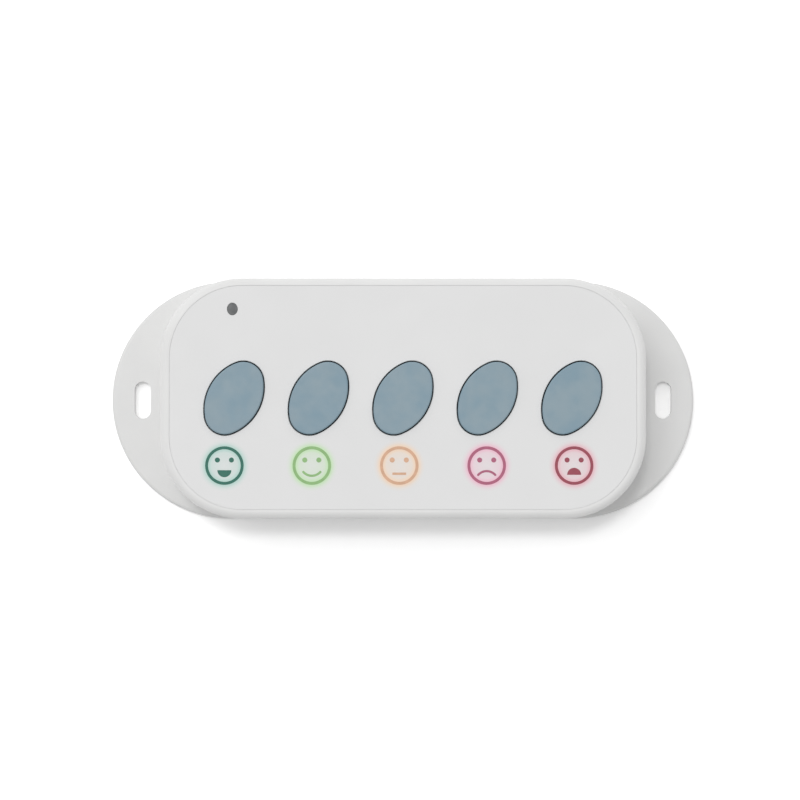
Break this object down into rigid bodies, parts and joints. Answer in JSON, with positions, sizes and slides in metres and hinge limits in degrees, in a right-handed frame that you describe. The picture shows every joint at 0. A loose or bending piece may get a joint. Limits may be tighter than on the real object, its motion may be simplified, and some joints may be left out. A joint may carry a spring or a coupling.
{
  "type": "customer feedback terminal",
  "caption": "Slim wall or counter terminal with a row of tilted oval push buttons over smiley rating icons, two slotted mounting ears and a small status light.",
  "frame": {"origin": "centre of the rear resting face", "axes": "+X along the row of buttons to the last one, +Y towards the edge with the status light, +Z out of the front face"},
  "size_m": [0.1606, 0.0654, 0.0266],
  "materials": {
    "front_cover_plastic": "fine satin moulded ABS, cool white",
    "rear_cover_plastic": "fine satin moulded ABS, cool white",
    "label_film": "matt printed film with five rating icons",
    "button_plastic": "satin blue-grey moulded plastic",
    "light_pipe": "smoke-grey clear plastic",
    "screw_steel": "zinc-plated steel",
    "board_green": "green solder mask on glass epoxy",
    "black_plastic": "black moulded plastic",
    "holder_plastic": "black moulded nylon",
    "bright_metal": "tinned and nickel-plated sheet",
    "spring_brass": "spring brass",
    "led_white": "white light package",
    "battery_can": "plain grey sleeve over a steel can"
  },
  "bodies": {
    "case": {"rear_cover": "rear_cover_plastic", "front_cover": "front_cover_plastic", "front_label": "label_film", "light_pipe": "light_pipe", "case_screws": "screw_steel", "circuit_board": "board_green", "board_screws": "screw_steel", "switch_housings": "black_plastic", "switch_frames": "bright_metal", "switch_terminals": "bright_metal", "status_led": "led_white", "board_chips": "black_plastic", "radio_module": "board_green", "radio_shield": "bright_metal", "antenna": "spring_brass", "sounder": "black_plastic", "battery_holder": "holder_plastic", "battery_contacts": "bright_metal", "battery_springs": "bright_metal", "battery_1": "battery_can", "battery_2": "battery_can", "switch_dome_1": "spring_brass", "switch_dome_2": "spring_brass", "switch_dome_3": "spring_brass", "switch_dome_4": "spring_brass", "switch_dome_5": "spring_brass"},
    "button_1": {"button_cap_1": "button_plastic", "switch_stem_1": "black_plastic"},
    "button_2": {"button_cap_2": "button_plastic", "switch_stem_2": "black_plastic"},
    "button_3": {"button_cap_3": "button_plastic", "switch_stem_3": "black_plastic"},
    "button_4": {"button_cap_4": "button_plastic", "switch_stem_4": "black_plastic"},
    "button_5": {"button_cap_5": "button_plastic", "switch_stem_5": "black_plastic"}
  },
  "joints": [
    {"name": "button_1_press", "type": "slide", "parent": "case", "child": "button_1", "axis": [0, 0, -1], "range_m": [0, 0.0005], "stiffness_N_per_m": 400, "springref_m": -0.004, "deforming": ["switch_dome_1"]},
    {"name": "button_2_press", "type": "slide", "parent": "case", "child": "button_2", "axis": [0, 0, -1], "range_m": [0, 0.0005], "stiffness_N_per_m": 400, "springref_m": -0.004, "deforming": ["switch_dome_2"]},
    {"name": "button_3_press", "type": "slide", "parent": "case", "child": "button_3", "axis": [0, 0, -1], "range_m": [0, 0.0005], "stiffness_N_per_m": 400, "springref_m": -0.004, "deforming": ["switch_dome_3"]},
    {"name": "button_4_press", "type": "slide", "parent": "case", "child": "button_4", "axis": [0, 0, -1], "range_m": [0, 0.0005], "stiffness_N_per_m": 400, "springref_m": -0.004, "deforming": ["switch_dome_4"]},
    {"name": "button_5_press", "type": "slide", "parent": "case", "child": "button_5", "axis": [0, 0, -1], "range_m": [0, 0.0005], "stiffness_N_per_m": 400, "springref_m": -0.004, "deforming": ["switch_dome_5"]}
  ]
}
